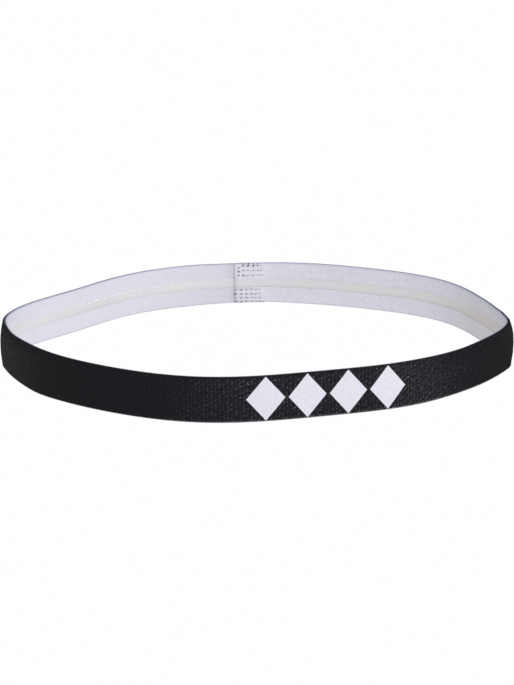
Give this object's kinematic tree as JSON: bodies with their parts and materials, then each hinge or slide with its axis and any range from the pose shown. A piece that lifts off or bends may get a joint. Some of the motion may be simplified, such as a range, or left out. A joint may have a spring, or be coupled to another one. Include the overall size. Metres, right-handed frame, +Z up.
{
  "type": "sports headband",
  "caption": "Narrow elastic sports headband: a loop of black-faced webbing with a white head side, a silicone grip line and a stitched lap at the back.",
  "frame": {"origin": "middle of the loop's bounding box, on the plane of the lower selvedge", "axes": "+Z up across the webbing's width, -Y to the front of the head, +Y to the stitched lap at the back, +X to the wearer's left when worn facing -Y"},
  "size_m": [0.1445, 0.1447, 0.0127],
  "materials": {
    "printed_face": "matte black woven elastic with a fine grid of grey flecks",
    "white_lining": "cool white twill",
    "grip_silicone": "translucent white silicone, satin",
    "core_rubber": "covered rubber yarn, natural",
    "black_thread": "spun polyester sewing thread, black",
    "white_thread": "spun polyester sewing thread, white"
  },
  "bodies": {
    "front_half": {"face_fabric_front": "printed_face", "lining_fabric_front": "white_lining", "grip_strip_front": "grip_silicone", "core_yarn_01": "core_rubber", "core_yarn_02": "core_rubber", "core_yarn_03": "core_rubber", "core_yarn_04": "core_rubber", "core_yarn_05": "core_rubber", "core_yarn_06": "core_rubber", "core_yarn_07": "core_rubber", "core_yarn_08": "core_rubber", "core_yarn_09": "core_rubber"},
    "rear_half": {"face_fabric_rear_left": "printed_face", "lining_fabric_rear_left": "white_lining", "grip_strip_rear_left": "grip_silicone", "face_fabric_rear_right": "printed_face", "lining_fabric_rear_right": "white_lining", "grip_strip_rear_right": "grip_silicone", "needle_thread_lower": "black_thread", "needle_thread_upper": "black_thread", "bobbin_thread_lower": "white_thread", "bobbin_thread_upper": "white_thread"}
  },
  "joints": [
    {"name": "stretch", "type": "slide", "parent": "front_half", "child": "rear_half", "axis": [0, 1, 0], "range_m": [0, 0.09], "stiffness_N_per_m": 55, "deforming": ["core_yarn_01", "core_yarn_02", "core_yarn_03", "core_yarn_04", "core_yarn_05", "core_yarn_06", "core_yarn_07", "core_yarn_08", "core_yarn_09"]}
  ]
}
